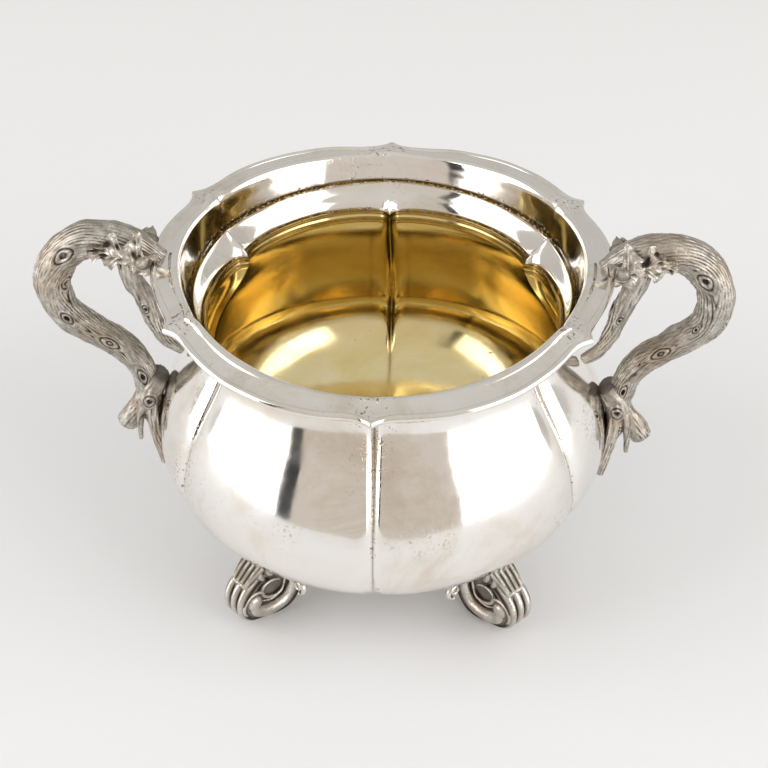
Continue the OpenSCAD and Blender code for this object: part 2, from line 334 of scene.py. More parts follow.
def polished_silver():
    """Polished sheet: warm tarnish in clouds, brown pits where the mesh marks them, dark seams and painted
    shade along the creases.
    """
    m, tree, shader = new_material("polished_silver")
    here = coordinates(tree)
    clouds = noise_node(tree, here, 45, 6, 0.65, 0.5)
    tint = ramp(tree, clouds, [(0.36, (0.905, 0.885, 0.85)), (0.52, (0.87, 0.84, 0.795)),
                               (0.7, (0.76, 0.70, 0.62))])
    stains = ramp(tree, noise_node(tree, here, 24, 6, 0.72, 0.8), [(0.52, grey(0)), (0.68, grey(0.55))])
    tint = mix_colour(tree, stains, tint, (0.71, 0.62, 0.50))
    marked = hollow(tree)
    freckles = noise_node(tree, here, 1100, 3, 0.55)
    patches = ramp(tree, noise_node(tree, here, 60, 3, 0.5), [(0.56, grey(0)), (0.72, grey(0.5))])
    marks = ramp(tree, marked, [(0.03, grey(0)), (PITTED, grey(1))])
    zone = math_node(tree, "ADD", patches, marks, clamp=True)
    spots = math_node(tree, "MULTIPLY", ramp(tree, freckles, [(0.58, grey(0)), (0.66, grey(1))]), zone)
    tint = mix_colour(tree, spots, tint, (0.33, 0.25, 0.18))
    # dark seams, and painted shade along the creases, where the mesh shade is deep
    tint = mix_colour(tree, ramp(tree, marked, [(PITTED, grey(0)), (1.0, grey(1))]), tint, (0.17, 0.12, 0.08))
    tree.links.new(tint, shader.inputs["Base Color"])
    shader.inputs["Metallic"].default_value = 1
    gloss = ramp(tree, noise_node(tree, here, 120, 4, 0.6), [(0.3, grey(0.06)), (0.7, grey(0.15))])
    tree.links.new(mix_colour(tree, spots, gloss, grey(0.45)), shader.inputs["Roughness"])
    fine = noise_node(tree, coordinates(tree, (1, 1, 0.15)), 2600, 2, 0.5)
    wide = noise_node(tree, here, 90, 2, 0.5)
    first = bump(tree, shader, wide, 0.00012, 0.5)
    second = bump(tree, shader, math_node(tree, "SUBTRACT", 1.0, spots), 0.0001, 0.6, first)
    bump(tree, shader, fine, 0.000004, 0.5, second)
    return m


def gilding():
    """Gold wash: deeper and paler in soft level bands, with a few brown specks, dark lines at the seam and
    mouldings, and painted shade in the folds.
    """
    m, tree, shader = new_material("gilding")
    here = coordinates(tree)
    wear = noise_node(tree, coordinates(tree, (1, 1, 2.5)), 30, 5, 0.6, 0.6)
    tint = ramp(tree, wear, [(0.3, (0.78, 0.62, 0.28)), (0.5, (0.84, 0.71, 0.39)),
                             (0.72, (0.88, 0.79, 0.54))])
    spots = ramp(tree, noise_node(tree, here, 420, 2, 0.5), [(0.74, grey(0)), (0.78, grey(1))])
    tint = mix_colour(tree, spots, tint, (0.30, 0.19, 0.08))
    # dark lines at the seam and mouldings, and painted shade in the folds
    tint = mix_colour(tree, hollow(tree), tint, (0.24, 0.13, 0.05))
    tree.links.new(tint, shader.inputs["Base Color"])
    shader.inputs["Metallic"].default_value = 1
    gloss = ramp(tree, noise_node(tree, here, 70, 4, 0.6), [(0.3, grey(0.08)), (0.7, grey(0.18))])
    tree.links.new(gloss, shader.inputs["Roughness"])
    fine = noise_node(tree, coordinates(tree, (1, 1, 6)), 350, 3, 0.5)
    wide = noise_node(tree, here, 70, 2, 0.5)
    first = bump(tree, shader, wide, 0.00015, 0.6)
    bump(tree, shader, fine, 0.00001, 0.5, first)
    return m


def cast_silver(name, bright, dull, dark, rough):
    """Cast silver: bright on the high places, darker in the hollows the mesh marks, with painted shade under
    and between the parts, and a fine gritty skin.
    """
    m, tree, shader = new_material(name)
    here = coordinates(tree)
    mottle = noise_node(tree, here, 260, 5, 0.65)
    grit = noise_node(tree, here, 1900, 3, 0.6)
    tint = ramp(tree, mottle, [(0.32, dull), (0.62, bright)])
    tint = mix_colour(tree, ramp(tree, grit, [(0.38, grey(0.75)), (0.58, grey(0))]), tint, dull)
    stain = ramp(tree, noise_node(tree, here, 75, 3, 0.6), [(0.48, grey(0)), (0.66, grey(0.55))])
    tint = mix_colour(tree, stain, tint, (0.50, 0.39, 0.29))
    # darker where the mesh shade is deep: grooves, hollows, and painted shade under and between the parts
    deep = math_node(tree, "ADD", hollow(tree), math_node(tree, "MULTIPLY", grit, 0.3))
    depth = ramp(tree, deep, [(0.2, grey(0)), (1.0, grey(1))])
    tint = mix_colour(tree, depth, tint, dark)
    tree.links.new(tint, shader.inputs["Base Color"])
    shader.inputs["Metallic"].default_value = 1
    gloss = ramp(tree, deep, [(0.15, grey(rough)), (0.8, grey(0.62))])
    tree.links.new(gloss, shader.inputs["Roughness"])
    first = bump(tree, shader, mottle, 0.0002, 0.5)
    bump(tree, shader, grit, 0.00015, 0.9, first)
    return m


SILVER = polished_silver()
GILT = gilding()
FOOT_SILVER = cast_silver("cast_foot_silver", bright=(0.86, 0.84, 0.80), dull=(0.62, 0.58, 0.52),
                          dark=(0.07, 0.055, 0.04), rough=0.2)
BARK_SILVER = cast_silver("cast_bark_silver", bright=(0.86, 0.83, 0.77), dull=(0.40, 0.36, 0.31),
                          dark=(0.07, 0.055, 0.045), rough=0.36)


# ---- bowl ----

LOBES = 6
FOLD_W = 1.4
SHOULDER_W = 6.0


def from_crease(a):
    """Degrees from the nearest crease, for angles in degrees."""
    m = (a - 30) % 60
    return np.minimum(m, 60 - m)


def lobe_share(a, depth):
    """Share of the full radius: a narrow fold on each crease, round shoulders and a gentle bulge."""
    u = from_crease(a)
    fold = np.hypot(u, 0.2) - 0.2
    bulge = 0.25 * np.exp(-u / SHOULDER_W) + 0.2 * (1 - u / 30) ** 2
    return 1 - depth * (0.55 * np.exp(-fold / FOLD_W) + bulge)


def fine_angles(per_lobe, crowd):
    """Angles round the bowl, closer together at the creases."""
    s = np.arange(per_lobe) / per_lobe
    u = 60 * (s - crowd * np.sin(2 * np.pi * s) / (2 * np.pi))
    return np.concatenate([30 + 60 * k + u for k in range(LOBES)])


def crease_depth(z):
    t = np.clip((z - BASE_H) / (THROAT_H - BASE_H), 0, None)
    return mix(CREASE_LOW, CREASE_TOP, t ** 1.3)


def shell_profile(n):
    under = bezier([[BASE_R, BASE_H], [mix(BASE_R, BELLY_R, 0.61), BASE_H],
                    [BELLY_R, mix(BELLY_H, BASE_H, 0.374)], [BELLY_R, BELLY_H]], n)
    shoulder = bezier([[BELLY_R, BELLY_H], [BELLY_R, mix(BELLY_H, THROAT_H, 0.47)],
                       [THROAT_R - 0.5, mix(THROAT_H, BELLY_H, 0.24)], [THROAT_R, THROAT_H]], n)
    return np.vstack([under, shoulder[1:]])


def inset(profile, d):
    p = profile + d * left_of(profile)
    p[-1] = profile[-1] - [d, 0]
    return p


def lobed(profile, angles, depth, dents=None):
    """Rings of a lobed shell for profile rows [radius, height]."""
    a = np.radians(angles)[None]
    share = lobe_share(angles[None], depth[:, None])
    r = profile[:, :1] * share
    p = np.stack([r * np.cos(a), r * np.sin(a), np.broadcast_to(profile[:, 1:], r.shape)], -1)
    if dents is not None:
        push = dents(p)
        p[..., 0] += push * np.cos(a)
        p[..., 1] += push * np.sin(a)
    return p


ANGLES = fine_angles(56, 0.86)
DENT_WIDE = Field(11, 34)
DENT_FINE = Field(12, 13)


def body_dents(p):
    return 0.10 * DENT_WIDE(p) + 0.03 * DENT_FINE(p)


def crease_shade(angles, rows, strength, width=0.5):
    line = strength * np.exp(-from_crease(angles) / width)
    return np.broadcast_to(line, (rows, len(angles)))


def pitted_patches(p, angles):
    """Shade that marks patches of pits on the shoulders beside the creases."""
    beside = np.exp(-(from_crease(angles) / 7) ** 2)[None]
    return PITTED * beside * smooth(-0.1, 0.5, Field(14, 26)(p))


def closed_shell(outer, inner, shade):
    """Mesher for a shell between two open surfaces of rings, joined at the last rows."""
    mesh = Mesher()
    mesh.grid(np.vstack([outer, inner[::-1]]), shade)
    return mesh


def throat_ridge(z):
    """Height of the two small mouldings that run round the lining just under the collar."""
    depth = THROAT_H - z
    return 0.45 * np.exp(-((depth - 1.7) / 0.4) ** 2) + 0.35 * np.exp(-((depth - 3.6) / 0.5) ** 2)


def build_body():
    steps = 44
    outside = shell_profile(steps)
    inside = inset(outside, SHEET)
    core = np.linspace(2.0, BASE_R, 9)[:-1]
    outer_profile = np.vstack([[[r, BASE_H] for r in core], outside])
    inner_profile = np.vstack([[[r, BASE_H + SHEET] for r in core], inside])
    outer = lobed(outer_profile, ANGLES, crease_depth(outer_profile[:, 1]), body_dents)
    inner = lobed(inner_profile, ANGLES, crease_depth(inner_profile[:, 1]), body_dents)
    rows = len(outer) + len(inner)
    both_profiles = np.vstack([outer_profile, inner_profile[::-1]])
    # painted shade along the creases, fading out towards the middle of the base
    crease = crease_shade(ANGLES, rows, 0.75, 0.3) * smooth(20, 40, both_profiles[:, :1])
    shade = np.maximum(crease, pitted_patches(np.vstack([outer, inner[::-1]]), ANGLES))
    piece = closed_shell(outer, inner, shade).make("bowl_body_silver", SILVER, 60)
    place(piece, "polished_silver", "bowl_body")

    gilt_face = inset(shell_profile(90), SHEET + GILDING)
    gilt_face[:, 0] -= throat_ridge(gilt_face[:, 1])
    face_profile = np.vstack([[[r, BASE_H + SHEET + GILDING] for r in core], gilt_face])
    face = lobed(face_profile, ANGLES, crease_depth(face_profile[:, 1]), body_dents)
    back = inner.copy()
    depth = THROAT_H - face_profile[:, 1:]
    line = np.exp(-(depth / 0.6) ** 2) + 0.6 * np.exp(-((depth - 2.7) / 0.4) ** 2)
    # painted shade in the folds, faint just under the collar and gone on the floor; dark lines at the seam and
    # between the mouldings
    low_share = (0.08 + 0.92 * smooth(22, 40, depth)) * smooth(38, 50, face_profile[:, :1])
    shade = np.maximum(crease_shade(ANGLES, len(face), 0.8, 0.4) * low_share, 0.9 * line)
    both = np.vstack([np.zeros((len(back), len(ANGLES))), shade[::-1]])
    piece = closed_shell(back, face, both).make("gilt_lining_gold", GILT, 60)
    place(piece, "gilding", "gilt_lining")


# ---- collar and mouth ----

def build_collar():
    steps = 16
    outer = bezier([[THROAT_R, THROAT_H], [THROAT_R, mix(THROAT_H, SEAM_H, 0.4)],
                    [SEAM_R + SHEET, mix(THROAT_H, SEAM_H, 0.5)], [SEAM_R + SHEET, SEAM_H]], steps)
    depth = CREASE_TOP * (1 - np.arange(steps + 1) / steps) ** 1.5
    out = lobed(outer, ANGLES, depth, body_dents)
    a = np.radians(ANGLES)
    back = out - SHEET * np.stack([np.cos(a), np.sin(a), 0 * a], -1)[None]
    rows = np.arange(steps + 1) / steps
    seam = (0.9 * np.exp(-((1 - rows) / 0.06) ** 2) + 0.5 * np.exp(-(rows / 0.05) ** 2))[:, None]
    shade = np.broadcast_to(np.vstack([seam, seam[::-1]]), (2 * len(rows), len(ANGLES)))
    mesh = Mesher()
    mesh.grid(np.vstack([out, back[::-1]]), shade, wrap_rows=True)
    place(mesh.make("neck_collar_silver", SILVER, 50), "polished_silver", "neck_collar")


def mouth_share(a):
    """Outline of the mouth as a share of RIM_R: broad arcs with a small pointed corner on each crease."""
    u = from_crease(a)
    point = np.hypot(u, 0.3) - 0.3
    sides = 0.02 * np.cos(np.radians(a)) ** 6
    return 1.012 - sides - 0.036 * np.exp(-(u / 14) ** 2) + 0.05 * np.exp(-point / 2.6)


def mouth_surface(profile, share, angles):
    """Rings of the mouth: share is 0 at the round seam and 1 at the cornered edge."""
    a = np.radians(angles)[None]
    share = np.asarray(share)[:, None]
    r = profile[:, :1] + share * RIM_R * (mouth_share(angles)[None] - 1)
    lift = np.clip(np.maximum(3 * share, (profile[:, 1:] - SEAM_H) / (RIM_H - SEAM_H)), 0, 1)
    z = profile[:, 1:] + lift * RIM_RISE * np.cos(a) ** 2
    p = np.stack([r * np.cos(a), r * np.sin(a), z], -1)
    p[..., 2] += 0.08 * lift * DENT_FINE(p)
    return p


MOUTH_ANGLES = fine_angles(64, 0.7)
BEAD_CENTRE = np.array([RIM_R - BEAD_R, RIM_H - BEAD_R + BEAD_LIFT])
MOUTH_TOP = [[SEAM_R, SEAM_H], [SEAM_R + 1.15, mix(SEAM_H, RIM_H, 0.6)], [SEAM_R + 2.1, RIM_H + 0.6],
             [SEAM_R + 2.8, RIM_H + 1.5], [SEAM_R + 4.2, RIM_H + 1.6], [SEAM_R + 5.2, RIM_H + 1.0],
             [SEAM_R + 7.0, RIM_H + 0.5], BEAD_CENTRE + [-0.5, BEAD_R * 0.6]]
MOUTH_UNDER = [[SEAM_R + SHEET, SEAM_H], [SEAM_R + 3, RIM_H], [SEAM_R + 3.6, RIM_H + 0.5],
               [SEAM_R + 4.4, RIM_H + 0.5], [SEAM_R + 5.8, RIM_H - 0.2], BEAD_CENTRE - 0.5]


def mouth_spread(profile):
    start = SEAM_R + SHEET
    return np.clip((profile[:, 0] - start) / (BEAD_CENTRE[0] - start), 0, 1)


def corner_panel(share, angles):
    """1 on the raised panel at each corner of the brim, 0 away from it."""
    across = (from_crease(angles)[None] / 6.0) ** 4
    along = ((share[:, None] - 0.6) / 0.42) ** 4
    return np.exp(-(across + along) ** 1.5)


def build_mouth():
    top, under = spline(MOUTH_TOP, 8), spline(MOUTH_UNDER, 6)
    spread = mouth_spread(top)
    upper = mouth_surface(top, spread, MOUTH_ANGLES)
    panel = corner_panel(spread, MOUTH_ANGLES)
    upper[..., 2] += 0.42 * panel
    lower = mouth_surface(under, mouth_spread(under), MOUTH_ANGLES)
    pits = PITTED * panel
    seam = 0.9 * np.exp(-((top[:, 1] - SEAM_H) / 0.35) ** 2)[:, None]
    shade = np.vstack([np.zeros(lower.shape[:2]), np.maximum(pits, seam)[::-1]])
    mesh = Mesher()
    mesh.grid(np.vstack([lower, upper[::-1]]), shade, wrap_rows=True)
    place(mesh.make("mouth_rim_silver", SILVER, 50), "polished_silver", "mouth_rim")

    t = np.radians(np.arange(0, 360, 15))
    ring = BEAD_CENTRE + BEAD_R * np.stack([np.cos(t), np.sin(t)], 1)
    mesh = Mesher()
    mesh.grid(mouth_surface(ring, np.ones(len(ring)), MOUTH_ANGLES), wrap_rows=True)
    place(mesh.make("rim_bead_silver", SILVER), "polished_silver", "rim_bead")


# ---- feet ----
# A foot is built with +X away from the bowl's axis and +Y along its width.

SHELL_STEPS = 60
SHELL = shell_profile(SHELL_STEPS)


def shell_height(r):
    """Height of the shell's underside at radius r."""
    lower = SHELL[:SHELL_STEPS + 1]
    return np.interp(r, lower[:, 0], lower[:, 1])


FOOT_OUTLINE = [[-6, 23.5], [0.8, 17], [3.6, 10.6], [2.2, 6], [-2, 3.6], [-8, 1.5], [-12.5, 1.8],
                [-15.6, 5.6], [-16.2, 12], [-14, 19.5]]
ROLL_PATH = [[-6.5, 12.6], [-4.6, 14.6], [-1.6, 15.4], [1.4, 14.0], [3.4, 10.8], [3.2, 7.2], [1.0, 4.4],
             [-3.0, 3.0], [-8, 1.5], [-12.5, 1.8], [-15.6, 5.6], [-16.2, 12], [-14, 19.5]]
FAN_PATH = [[-8.5, 25.5], [-4.4, 21.2], [-0.8, 18.4], [2.4, 15.2]]
ARM_PATH = [[-13.2, 19], [-14.9, 12.5], [-14.3, 6.8], [-11.6, 3.2], [-7.4, 2.5], [-3.4, 3.5],
            [-0.4, 5.6], [0.2, 8]]
BAND_T = 2.2
REED_H = 0.7
REEDS = 3
FLUTES = 5
EYE_R = 2.55


def foot_path(points, n):
    """n even points of a side view through points measured out from the eye and up from the ground."""
    return even(spline([[FOOT_EYE[0] + x, z] for x, z in points], 12), n - 1)


def upright(flat, y):
    """Points [x, z] of a side view, placed at y."""
    flat = np.asarray(flat, float)
    y = np.broadcast_to(y, flat.shape[:-1])
    return np.stack([flat[..., 0], y, flat[..., 1]], -1)


def under_shell(path):
    """The part of a side-view path below the bowl."""
    below = np.flatnonzero(path[:, 1] < shell_height(path[:, 0]) + 0.4)
    return path[below[0]: below[-1] + 1]


def strap(mesh, path, width, relief, shade, under):
    """Strap along a side-view path: relief and shade[row, col] over its width, flat beneath, with painted
    shade on the flat underside.
    """
    out = left_of(path)
    w = np.linspace(-1, 1, relief.shape[1])
    y = w[None] * width[:, None] / 2
    outer = upright(path[:, None] + relief[..., None] * out[:, None], y)
    inner = upright(path[:, None] - under * out[:, None] + 0 * w[None, :, None], y[:, ::-1] * 0.97)
    rings = np.concatenate([outer, inner], 1)
    rings[..., 2] = np.maximum(rings[..., 2], 0)
    # the flat underside gets a painted shade of 0.5
    mesh.grid(rings, np.concatenate([shade, np.full_like(shade, 0.5)], 1))


def foot_roll(mesh):
    """Reeded strap that rolls over the top of the eye, round the front and back under the foot."""
    path = under_shell(foot_path(ROLL_PATH, 170))
    rows = np.linspace(0, 1, len(path))[:, None]
    w = np.linspace(-1, 1, 61)[None]
    reed = np.abs(np.sin(np.pi * REEDS * (w + 1) / 2))
    round_off = np.clip(1 - np.abs(w) ** 8, 0, 1)
    ease = smooth(0, 0.08, rows)
    top = BAND_T / 2 - 0.5 + (REED_H + 0.5) * reed ** 0.8 * round_off * ease
    shade = np.clip(1.15 * (1 - reed) ** 1.6, 0, 1) + 0 * rows
    width = FOOT_W * mix(0.55, 1, smooth(0, 0.16, rows[:, 0]))
    strap(mesh, path, width, top, shade, BAND_T / 2)


def foot_fan(mesh):
    """Fluted leaf down the top of the front of the foot, over the start of the roll."""
    path = under_shell(foot_path(FAN_PATH, 60))
    rows = np.linspace(0, 1, len(path))[:, None]
    w = np.linspace(-1, 1, 61)[None]
    flute = np.abs(np.sin(np.pi * FLUTES * (w * mix(1.0, 0.8, rows) + 1) / 2))
    rim = np.maximum(np.exp(-((np.abs(w) - 0.93) / 0.06) ** 2), np.exp(-((rows - 0.95) / 0.05) ** 2))
    relief = 0.9 - 0.35 * flute ** 0.6 + 0.45 * rim
    relief = relief * np.clip(1 - np.abs(w) ** 14, 0, 1) * (1 - smooth(0.97, 1, rows) * 0.6)
    shade = np.clip(0.85 * flute ** 2 + 0.1 - 0.7 * rim, 0, 1)
    tip = FOOT_W * (1 - 0.28 * rows[:, 0] ** 2)
    strap(mesh, path, tip, relief, shade, 0.8)


def tube(mesh, path, radii, n=20, shade=0.0, squash=1.0, side=(0, 1, 0)):
    """Round bar along path."""
    t = np.linspace(0, 2 * np.pi, n, endpoint=False)
    r = np.asarray(radii, float)[:, None] * np.ones(n)[None]
    p = section_grid(path, np.array(side, float), r * np.cos(t)[None] * squash, r * np.sin(t)[None])
    mesh.grid(p, shade)


def lathe(mesh, profile, centre, axis, n=40, shade=0.0):
    """Turned solid: profile rows [radius, height along axis]."""
    axis = unit(np.array(axis, float))
    u = unit(np.cross(axis, [0.31, 0.52, 0.79]))
    v = np.cross(axis, u)
    t = np.linspace(0, 2 * np.pi, n, endpoint=False)
    around = np.cos(t)[:, None] * u + np.sin(t)[:, None] * v
    profile = np.asarray(profile, float)
    p = np.array(centre) + profile[:, :1, None] * around[None] + (profile[:, 1:] * axis)[:, None]
    mesh.grid(p, shade)


def flat_arc(first, last, r_first, r_last, n):
    """Side-view spiral about the eye between two angles in degrees."""
    a = np.radians(np.linspace(first, last, n))
    r = np.linspace(r_first, r_last, n)
    return np.stack([FOOT_EYE[0] + r * np.cos(a), FOOT_EYE[1] + r * np.sin(a)], 1)


def tapered(first, last, n):
    """Radii of a ridge n points long, rounded off at both ends."""
    s = np.linspace(0, 1, n)
    return mix(first, last, s) * np.clip(np.sin(np.pi * mix(0.02, 0.98, s)), 0, 1) ** 0.35


def foot_side(mesh, side):
    """One carved side of a foot: the arm that rolls up into the eye, ridges and an oval hollow."""
    face = side * (FOOT_W / 2)
    arm = under_shell(foot_path(ARM_PATH, 90))
    radii = mix(1.2, 2.1, smooth(0.05, 0.7, np.linspace(0, 1, len(arm))))
    tube(mesh, upright(arm, face - side * 1.3), radii, 24, squash=0.75)
    r = EYE_R
    dome = [[0.01, 0.95], [0.5 * r, 0.85], [0.8 * r, 0.5], [0.95 * r, 0.1],
            [r, -0.5], [r, -2.6], [0.01, -2.6]]
    lathe(mesh, np.array(dome)[::-1], [FOOT_EYE[0], face - side * 0.4, FOOT_EYE[1]], [0, side, 0], 36)
    near = flat_arc(-70, 150, 4.1, 3.7, 50)
    tube(mesh, upright(near, face - side * 0.3), tapered(0.5, 0.7, 50), 16, squash=0.7)
    for x in (-2.4, -5.4, -8.6):
        fold = foot_path([[x, 19.4], [x - 0.3, 17.2], [x - 1.6, 15.4]], 20)
        tube(mesh, upright(fold, face - side * 1.2), tapered(1.2, 0.9, 20), 14, 0.15)
    oval_a = np.radians(np.linspace(-200, 110, 60))
    tilt = math.radians(30)
    turn = np.array([[math.cos(tilt), math.sin(tilt)], [-math.sin(tilt), math.cos(tilt)]])
    oval = np.stack([4.2 * np.cos(oval_a), 2.9 * np.sin(oval_a)], 1) @ turn + [FOOT_EYE[0] - 7.2, 9.7]
    tube(mesh, upright(oval, face - side * 1.5), tapered(0.55, 0.6, 60), 14)
    lip = foot_path([[-3.4, 7.0], [-6.6, 5.4], [-10.4, 6.4], [-12.0, 10.6], [-11.4, 15]], 50)
    tube(mesh, upright(lip, face - side * 1.9), tapered(0.4, 0.5, 50), 12)


def foot_web(mesh):
    """Plate that fills the roll, sunk below the ridges on both sides."""
    path = foot_path(FOOT_OUTLINE, 90)
    centre = np.array([FOOT_EYE[0] - 6, 10.5])
    shares = np.linspace(1, 0.02, 10)
    flat = centre + (path[None] - centre) * shares[:, None, None]
    sunk = FOOT_W / 2 - 2.3 + 0.25 * Field(5, 5)(upright(flat, 0))
    sides = [upright(flat, -sunk), upright(flat, sunk)]
    for half in sides:
        half[..., 2] = np.maximum(np.minimum(half[..., 2], shell_height(half[..., 0]) + 0.3), 0.3)
    mesh.grid(np.vstack([sides[0][::-1], sides[1]]), 0.62)


WING = 17.4       # reach of the leaf each side of the foot
WING_MID = 46.0   # distance of the leaf from the bowl's axis
WING_T = 2.4
CURL_R = 2.2
CURL_H = 19.7


def foot_leaf(mesh):
    """Leaf fixed along the underside of the bowl, ending in a small curl each side of the foot."""
    s = np.linspace(-1, 1, 161)[:, None]
    w = np.linspace(-1, 1, 41)[None]
    flutes = np.abs(np.sin(np.radians(360 * 4.5 * s + 90)))
    half = 5.4 * (1 - np.abs(s) * 0.999) ** 0.6 * (0.8 + 0.2 * flutes) + 0.4
    x = WING_MID + w * half
    y = WING * s + 0 * w
    r = np.hypot(x, y)
    rise = 0.9 * flutes * (1 - w ** 2) + 0.5 * np.exp(-(w / 0.12) ** 2)
    thick = WING_T * (1 - 0.75 * np.abs(w) ** 3) * (1 - 0.5 * np.abs(s) ** 3)
    low = shell_height(r) - thick * 0.75 - rise
    high = shell_height(r) + 0.25
    shade = np.clip(0.85 - 1.2 * rise, 0, 1)
    rings = np.concatenate([np.stack([x, y, high], -1), np.stack([x, y, low], -1)[:, ::-1]], 1)
    mesh.grid(rings, np.concatenate([shade, shade[:, ::-1]], 1))
    for side in (-1, 1):
        n = 60
        t = np.radians(np.linspace(-80, 400, n))
        r_curl = mix(CURL_R, 0.4, np.linspace(0, 1, n) ** 1.2)
        curl = np.stack([np.full(n, WING_MID - 1.0), side * (WING - CURL_R + r_curl * np.cos(t)),
                         CURL_H + r_curl * np.sin(t)], 1)
        tube(mesh, curl, mix(0.6, 0.35, np.linspace(0, 1, n)), 14, side=(1, 0, 0), squash=1.8)


def build_feet():
    for front in (True, False):
        for right in (True, False):
            name = f"foot_{'front' if front else 'rear'}_{'right' if right else 'left'}"
            mirror = (1 if right else -1, -1 if front else 1)
            scroll = Mesher()
            foot_roll(scroll)
            foot_fan(scroll)
            for side in (-1, 1):
                foot_side(scroll, side)
            foot_web(scroll)
            piece = scroll.make(name + "_scroll_cast", FOOT_SILVER, 70, mirror, FOOT_ANGLE)
            place(piece, "cast_foot_silver", name + "_scroll")
            leaf = Mesher()
            foot_leaf(leaf)
            piece = leaf.make(name + "_leaf_cast", FOOT_SILVER, 70, mirror, FOOT_ANGLE)
            place(piece, "cast_foot_silver", name + "_leaf")


# ---- handles ----
# A handle is built on the +X side; the left one is its mirror image.

BOUGH = [[59.5, 0, 97], [65, 0, 101.6], [72, 0, 103.9], [79.5, 0, 103.6], [86, 0, 98.2], [89, 0, 89.8],
         [86.8, 0, 81], [80, 0, 74.6], [72, 0, 68.8], [67.2, 0, 61.5], [65.9, 0, 53]]


def shell_r(z):
    return np.interp(z, SHELL[:, 1], SHELL[:, 0])


def bough_radius(s):
    """Radius of the bough: slim at the rim, full to its middle and tapering to the root."""
    tapering = np.where(s < 0.45, 1, mix(1, 0.68, (s - 0.45) / 0.55))
    return BOUGH_R * np.where(s < 0.1, mix(0.72, 1, s / 0.1), tapering)


GRAIN_W = 1.15   # from one furrow of the bark to the next
RINGS = 2.1      # growth rings from a knot's middle to its rim


def knot_distance(dx, du, size):
    """Distance from a knot's middle, 1 on its rim; the knot is pointed along the bough."""
    return ((np.abs(dx) / (1.75 * size)) ** 1.5 + (np.abs(du) / size) ** 1.9) ** 0.6


def bark(s, theta, length, radius, knots, seed):
    """Height and shade of bark on a grid of distances s along a bough and angles theta round it."""
    phase = np.random.RandomState(seed).uniform(0, 10)
    x = s * length
    u = theta * radius
    wander = 1.3 * np.sin(x / 9.0 + phase) + 0.5 * np.sin(x / 3.7 + 2 * phase)
    wander = wander + 0.35 * np.sin(theta * 2 + x / 6)
    bend, rings, ring_shade, cover = (np.zeros_like(x) for _ in range(4))
    for at, turn, size, deep in knots:
        dx = x - at * length
        du = (np.mod(theta - turn + np.pi, 2 * np.pi) - np.pi) * radius
        d = knot_distance(dx, du, size)
        bend += np.sign(du) * size * 0.9 * np.exp(-(d / 1.8) ** 2) * (1 - np.exp(-np.abs(du) / 0.5))
        near = np.exp(-(d / 1.12) ** 8)
        wave = np.cos(2 * np.pi * RINGS * d)
        pit = deep * np.exp(-((d - 0.12) / 0.16) ** 2)
        rings += near * (0.5 * wave + 0.5 - 2.2 * pit)
        ring_shade += near * np.maximum((0.5 - 0.5 * wave) ** 3 * 0.8, pit)
        cover = np.maximum(cover, near)
    ridge = np.abs(np.sin((u + wander - bend) * np.pi / GRAIN_W))
    here = np.stack([x, u, 0 * x], -1)
    strength = 0.35 + 0.65 * smooth(-0.3, 0.4, Field(seed + 3, 7)(here * [0.4, 1, 1]))
    fibre = Field(seed + 1, 0.9)(here * [0.3, 1, 1])
    lump = Field(seed + 2, 9)(here)
    plain = 1 - cover
    h = (strength * ridge * 0.22 + fibre * 0.10) * plain + rings * 0.42 + lump * 0.3
    groove = strength * (1 - ridge) ** 2.5
    shade = np.clip(0.14 + 0.85 * groove * plain + 1.0 * ring_shade - 0.2 * fibre, 0, 1)
    return h, shade


# Knots of each bough: share of its length, angle round it in radians, size, depth of the hole
KNOTS_LEFT = [(0.315, 1.75, 2.7, 0.5), (0.43, 0.6, 2.4, 0.9), (0.585, 1.35, 2.0, 1.0), (0.75, 1.3, 2.4, 0.1),
              (0.915, 1.45, 2.3, 0.9), (0.5, 4.4, 2.3, 0.7), (0.24, 4.8, 2.4, 0.6), (0.7, 4.5, 1.9, 0.7)]
KNOTS_RIGHT = [(0.35, 1.4, 2.6, 1.0), (0.55, 2.4, 1.8, 0.9), (0.585, 0.95, 1.3, 0.6), (0.735, 1.2, 2.4, 0.2),
               (0.93, 1.5, 2.2, 0.9), (0.5, 4.5, 2.3, 0.7), (0.3, 4.6, 2.2, 0.7), (0.68, 4.3, 1.9, 0.7)]


def place_bark(mesh, node, mirror, crease=None):
    piece = mesh.make(node + "_bark", BARK_SILVER, crease, mirror)
    place(piece, "cast_bark_silver", node)


def build_branch(side, mirror, knots, seed):
    rows, cols = 400, 160
    path = even(spline(BOUGH, 20), rows)
    length = np.linalg.norm(np.diff(path, axis=0), axis=1).sum()
    s = np.linspace(0, 1, rows + 1)[:, None] + np.zeros(cols)[None]
    theta = np.linspace(0, 2 * np.pi, cols, endpoint=False)[None] + np.zeros((rows + 1, 1))
    h, shade = bark(s, theta, length, BOUGH_R, knots, seed)
    fade = smooth(0, 0.02, s)
    mesh = Mesher()
    t = theta[0]
    r = bough_radius(s) + (h - 0.6) * fade
    p = section_grid(path, np.array([0, -1.0, 0]), r * np.sin(t)[None], r * np.cos(t)[None])
    mesh.grid(p, shade)
    place_bark(mesh, side + "_branch", mirror)


